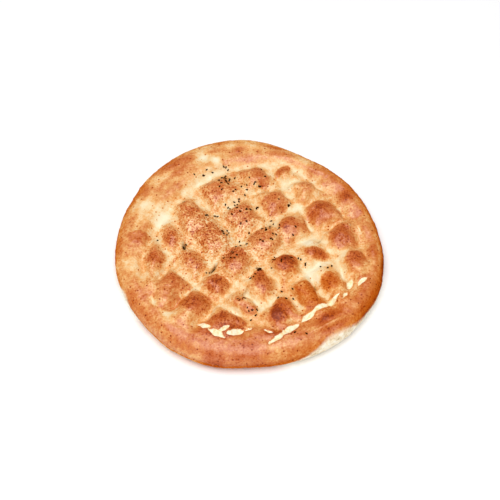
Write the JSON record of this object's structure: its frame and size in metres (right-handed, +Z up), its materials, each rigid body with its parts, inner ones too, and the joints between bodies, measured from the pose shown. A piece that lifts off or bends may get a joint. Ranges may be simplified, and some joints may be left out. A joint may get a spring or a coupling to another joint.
{
  "type": "ramadan pide",
  "caption": "Round leavened flatbread with a thick rim, a hand-pressed lattice of browned pillows, torn crust along the front and nigella seeds on top.",
  "frame": {"origin": "on the table, under the middle of the loaf's bounding box", "axes": "+Z up out of the top crust, -Y towards the torn front of the rim, +X to the right as seen from the front"},
  "size_m": [0.2788, 0.2826, 0.0295],
  "materials": {
    "crust": "baked golden-brown crust with a satin glaze, pale in the grooves and tears, floury underneath, with black nigella seeds"
  },
  "bodies": {
    "root": {"pide": "crust"}
  },
  "joints": []
}
